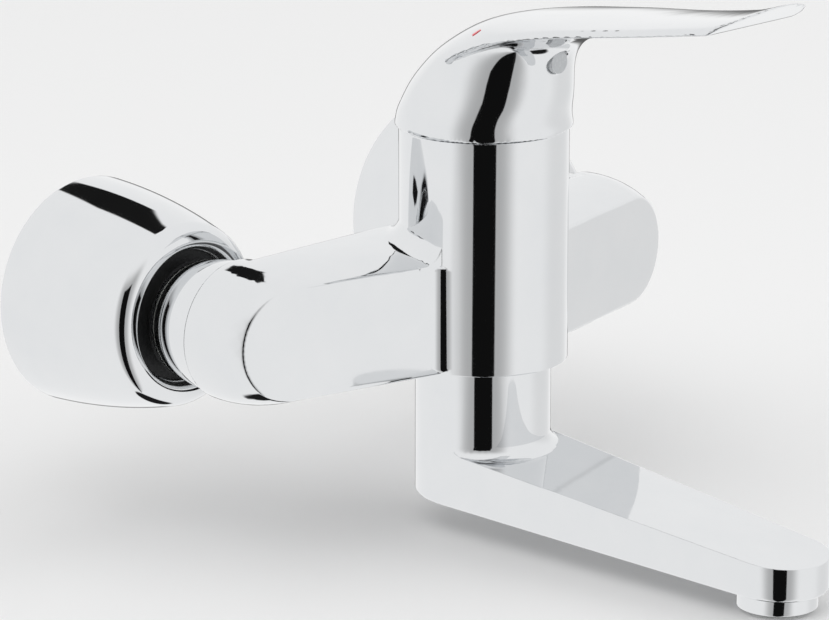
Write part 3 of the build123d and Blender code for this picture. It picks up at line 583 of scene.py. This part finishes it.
class TapFinish(bpy.types.PropertyGroup):
    """Finish of the chrome and level of the studio."""

    chrome_roughness: FloatProperty(
        name="Chrome roughness",
        description="Roughness of the plate where it is cleanest",
        default=0.03,
        min=0.0,
        max=1.0,
    )
    edge_round: FloatProperty(
        name="Edge round",
        description="Radius by which the polish breaks the chrome's edges",
        default=0.5 * MM,
        unit="LENGTH",
    )
    floor_colour: FloatVectorProperty(
        name="Floor colour",
        description="Colour of the studio floor",
        size=4,
        subtype="COLOR",
        default=linear("eeeeee"),
    )
    world_strength: FloatProperty(
        name="Tent brightness",
        description="Brightness of the white tent around the tap",
        default=1.0,
    )


class TAP_OT_mixer_body(bpy.types.Operator):
    """Chrome casting with its two horns"""

    bl_idname = "tap.mixer_body"
    bl_label = "Mixer body"

    def execute(self, context):
        polished_copy("mixer_body", "body_casting")
        return {"FINISHED"}


class TAP_OT_wall_covers(bpy.types.Operator):
    """Bell shaped covers at the wall, with the nuts in front of them"""

    bl_idname = "tap.wall_covers"
    bl_label = "Wall covers and nuts"

    def execute(self, context):
        for side in SIDES:
            turned_piece(f"wall_cover_{side}", f"rosette_{side}", wall_cover_profile(), side)
            turned_piece(f"union_nut_shell_{side}", f"union_nut_{side}", nut_profile(), side)
        return {"FINISHED"}


class TAP_OT_lever(bpy.types.Operator):
    """Elbow lever with its plug and its red mark"""

    bl_idname = "tap.lever"
    bl_label = "Elbow lever"

    def execute(self, context):
        buffed_copy("lever", "elbow_lever")
        polished_copy("screw_cap", "lever_plug")
        polished_copy("temperature_mark", "red_mark")
        return {"FINISHED"}


class TAP_OT_spout(bpy.types.Operator):
    """Swinging spout with the ring of its aerator"""

    bl_idname = "tap.spout"
    bl_label = "Spout"

    def execute(self, context):
        polished_copy("spout", "spout_casting")
        polished_copy("aerator_housing", "aerator_ring")
        return {"FINISHED"}


class TAP_OT_inner_parts(bpy.types.Operator):
    """Materials of the parts that stay as they are packed"""

    bl_idname = "tap.inner_parts"
    bl_label = "Inner parts"

    def execute(self, context):
        for name, node in frame["nodes"].items():
            if node.hide_render:
                continue
            node.data.materials.clear()
            node.data.materials.append(finish_for(SLOT_OF[name]))
        return {"FINISHED"}


class TAP_OT_stage(bpy.types.Operator):
    """Floor, tent, lamps and camera"""

    bl_idname = "tap.stage"
    bl_label = "Studio"

    def execute(self, context):
        studio_floor()
        studio_world()
        studio_lamps()
        studio_camera()
        return {"FINISHED"}


# Studio, in metres and degrees

# Floor: half its width, how far it lies under the tap, the size of its fibres and their tone
FLOOR_HALF = 6.0
FLOOR_DROP = 1.5 * MM
FLOOR_FIBRE = 0.6 * MM
FLOOR_FIBRE_TONE = 0.985

CAMERA_PLACE = (-0.93178, -0.97270, 0.36182)
CAMERA_TURN = (74.32, 0.0, -45.804)
CAMERA_LENS = 190.09
CAMERA_REACH = 40.0

# Lamps: name, place, width and power in watts, and the point that they are aimed at
LAMPS = (
    ("soft_key", (-1.2, -0.6, 1.6), 1.2, 6.0),
    ("soft_fill", (1.4, -1.2, 1.2), 1.4, 3.0),
)
LAMP_TARGET = (0.0, -0.1, 0.0)

# Dark gap in the tent: where its middle is, half its width, its soft edge, its top and its level
GAP_AZIMUTH = -46.0
GAP_HALF = 15.5
GAP_FADE = 1.2
GAP_TOP = 27.0
GAP_LEVEL = 0.006

# Dimmer cloth on both sides of the gap: how far it reaches and its darkness beside the gap
SHOULDER = 36.0
SHOULDER_DEPTH = 0.5

# Dark panel overhead: azimuth and elevation of its corners, its soft edge and its darkness
PANEL_CORNERS = ((153.5, 39.0), (142.0, 28.5), (131.0, 35.5), (136.0, 60.0), (150.0, 64.0), (157.0, 52.0))
PANEL_FADE = 0.7
PANEL_LEVEL = 0.96

# Dark round cards: azimuth, elevation, outer and inner angle of the soft edge, and how dark
DARK_CARDS = (
    (134.2, -15.7, 18.0, 4.0, 0.8),
    (130.0, -72.0, 18.0, 14.0, 0.95),
    (75.0, -16.0, 42.0, 2.0, 0.22),
)


def sine(angle):
    """Sine of an angle in degrees."""
    return math.sin(math.radians(angle))


def cosine(angle):
    """Cosine of an angle in degrees."""
    return math.cos(math.radians(angle))


def studio_floor():
    """Plain pale floor under the lowest edge of the spout."""
    finish = bpy.context.scene.tap_finish
    shape = bmesh.new()
    level = Matrix.Translation((0, 0, cad_box[0].z - FLOOR_DROP))
    bmesh.ops.create_grid(shape, x_segments=1, y_segments=1, size=FLOOR_HALF, matrix=level)
    mesh = smooth_mesh(shape, "studio_floor", TURNED_SHARP_ANGLE)
    floor = bpy.data.objects.new("studio_floor", mesh)
    bpy.context.scene.collection.objects.link(floor)
    made, tree, shader, place = new_material("matt_paper", {"Roughness": 0.9, "Specular IOR Level": 0.2})
    fibre = noise(tree, place, FLOOR_FIBRE, FINE_DETAIL)
    pale = list(finish.floor_colour)
    soft = [FLOOR_FIBRE_TONE * part for part in pale[:3]] + [1.0]
    tree.links.new(mixed(tree, fibre, soft, pale), shader.inputs["Base Color"])
    mesh.materials.append(made)
    floor.visible_glossy = False


def heading(azimuth, elevation=0.0):
    """Unit direction; azimuth 0 is straight out from the wall, 90 along the wall to the right."""
    across = cosine(elevation)
    return Vector((sine(azimuth) * across, -cosine(azimuth) * across, sine(elevation)))


def nearness_to(tree, direction, towards):
    """Cosine of the angle between a direction and a fixed one."""
    settings = {"operation": "DOT_PRODUCT", 1: towards}
    return add_node(tree, "ShaderNodeVectorMath", settings, {0: direction}).outputs["Value"]


def fade(tree, value, start, end, low, high):
    """Goes smoothly from low to high while the value goes from start to end."""
    settings = {
        "interpolation_type": "SMOOTHSTEP",
        "From Min": start,
        "From Max": end,
        "To Min": low,
        "To Max": high,
    }
    return add_node(tree, "ShaderNodeMapRange", settings, {"Value": value}).outputs["Result"]


def calculated(tree, operation, first, second):
    """Result of a sum on two values."""
    settings = {"operation": operation}
    return add_node(tree, "ShaderNodeMath", settings, {0: first, 1: second}).outputs[0]


def compass(tree, direction):
    """The level part of a direction, as a unit direction."""
    settings = {"operation": "MULTIPLY", 1: (1, 1, 0)}
    level = add_node(tree, "ShaderNodeVectorMath", settings, {0: direction})
    unit = add_node(tree, "ShaderNodeVectorMath", {"operation": "NORMALIZE"}, {0: level.outputs[0]})
    return unit.outputs[0]


def tent_gap(tree, sideways, height):
    """Share of darkness of the gap that the camera looks through, up to its top."""
    gap = fade(tree, sideways, cosine(GAP_HALF + GAP_FADE), cosine(GAP_HALF - GAP_FADE), 0.0, 1.0)
    below = fade(tree, height, sine(GAP_TOP - GAP_FADE), sine(GAP_TOP + GAP_FADE), 1.0, 0.0)
    return calculated(tree, "MULTIPLY", gap, below)


def tent_shoulders(tree, sideways, height):
    """Share of darkness of the dimmer cloth beside and above the gap."""
    beside = fade(tree, sideways, cosine(GAP_HALF + SHOULDER), cosine(GAP_HALF), 0.0, SHOULDER_DEPTH)
    above = fade(tree, height, sine(GAP_TOP), sine(GAP_TOP + SHOULDER), 1.0, 0.0)
    return calculated(tree, "MULTIPLY", beside, above)


def dark_panel(tree, direction):
    """Share of darkness of the panel overhead, the overlap of the half spaces inside its edges."""
    corners = [heading(*corner) for corner in PANEL_CORNERS]
    edge = sine(PANEL_FADE)
    share = None
    for first, last in zip(corners, corners[1:] + corners[:1]):
        inward = nearness_to(tree, direction, last.cross(first).normalized())
        side = fade(tree, inward, -edge, edge, 0.0, PANEL_LEVEL)
        share = calculated(tree, "MINIMUM", share, side) if share else side
    return share


def dark_card(tree, direction, azimuth, elevation, outer, inner, depth):
    """Share of darkness of a round card."""
    nearness = nearness_to(tree, direction, heading(azimuth, elevation))
    return fade(tree, nearness, cosine(outer), cosine(inner), 0.0, depth)


def studio_world():
    """White tent with the dark gap that the camera looks through, a panel and a few cards."""
    world = bpy.data.worlds.new("white_tent")
    bpy.context.scene.world = world
    world.use_nodes = True
    tree = world.node_tree
    tree.nodes.clear()
    direction = add_node(tree, "ShaderNodeTexCoord").outputs["Generated"]
    height = add_node(tree, "ShaderNodeSeparateXYZ", links={0: direction}).outputs["Z"]
    sideways = nearness_to(tree, compass(tree, direction), heading(GAP_AZIMUTH))
    shade = tent_gap(tree, sideways, height)
    others = [tent_shoulders(tree, sideways, height), dark_panel(tree, direction)]
    others += [dark_card(tree, direction, *card) for card in DARK_CARDS]
    for other in others:
        shade = calculated(tree, "MAXIMUM", shade, other)
    strength = bpy.context.scene.tap_finish.world_strength
    bright = fade(tree, shade, 0.0, 1.0, strength, GAP_LEVEL)
    back = add_node(tree, "ShaderNodeBackground", {"Color": linear("ffffff")}, {"Strength": bright})
    add_node(tree, "ShaderNodeOutputWorld", links={"Surface": back.outputs[0]})


def studio_lamps():
    """Two large soft lamps, for the shadow on the floor and the modelling of the plastics."""
    for name, place, width, power in LAMPS:
        lamp = bpy.data.lights.new(name, "AREA")
        lamp.shape = "DISK"
        lamp.size = width
        lamp.energy = power
        holder = bpy.data.objects.new(name, lamp)
        bpy.context.scene.collection.objects.link(holder)
        holder.location = place
        holder.visible_glossy = False
        aim = Vector(LAMP_TARGET) - Vector(place)
        holder.rotation_euler = aim.to_track_quat("-Z", "Y").to_euler()


def studio_camera():
    """Camera at the photograph's place and angle."""
    lens = bpy.data.cameras.new("photo_camera")
    lens.lens = CAMERA_LENS
    lens.clip_end = CAMERA_REACH
    camera = bpy.data.objects.new("photo_camera", lens)
    bpy.context.scene.collection.objects.link(camera)
    camera.location = CAMERA_PLACE
    camera.rotation_euler = [math.radians(turn) for turn in CAMERA_TURN]
    bpy.context.scene.camera = camera
    bpy.context.scene.view_settings.view_transform = "Standard"


class TAP_PT_panel(bpy.types.Panel):
    """Lists the tap's operators and settings in the sidebar"""

    bl_label = "Elbow lever tap"
    bl_idname = "TAP_PT_panel"
    bl_space_type = "VIEW_3D"
    bl_region_type = "UI"
    bl_category = "Tap"

    def draw(self, context):
        for operator in OPERATORS:
            self.layout.operator(operator.bl_idname)
        for prop in ("chrome_roughness", "edge_round", "floor_colour", "world_strength"):
            self.layout.prop(context.scene.tap_finish, prop)


OPERATORS = (
    TAP_OT_mixer_body,
    TAP_OT_wall_covers,
    TAP_OT_lever,
    TAP_OT_spout,
    TAP_OT_inner_parts,
    TAP_OT_stage,
)


def register():
    """Registers the add-on's classes."""
    bpy.utils.register_class(TapFinish)
    bpy.types.Scene.tap_finish = PointerProperty(type=TapFinish)
    for operator in OPERATORS:
        bpy.utils.register_class(operator)
    bpy.utils.register_class(TAP_PT_panel)


def unregister():
    """Removes the add-on's classes."""
    bpy.utils.unregister_class(TAP_PT_panel)
    for operator in reversed(OPERATORS):
        bpy.utils.unregister_class(operator)
    del bpy.types.Scene.tap_finish
    bpy.utils.unregister_class(TapFinish)


def main():
    """Makes every piece."""
    register()
    bpy.ops.tap.mixer_body()
    bpy.ops.tap.wall_covers()
    bpy.ops.tap.lever()
    bpy.ops.tap.spout()
    bpy.ops.tap.inner_parts()
    bpy.ops.tap.stage()


if __name__ == "__main__":
    main()
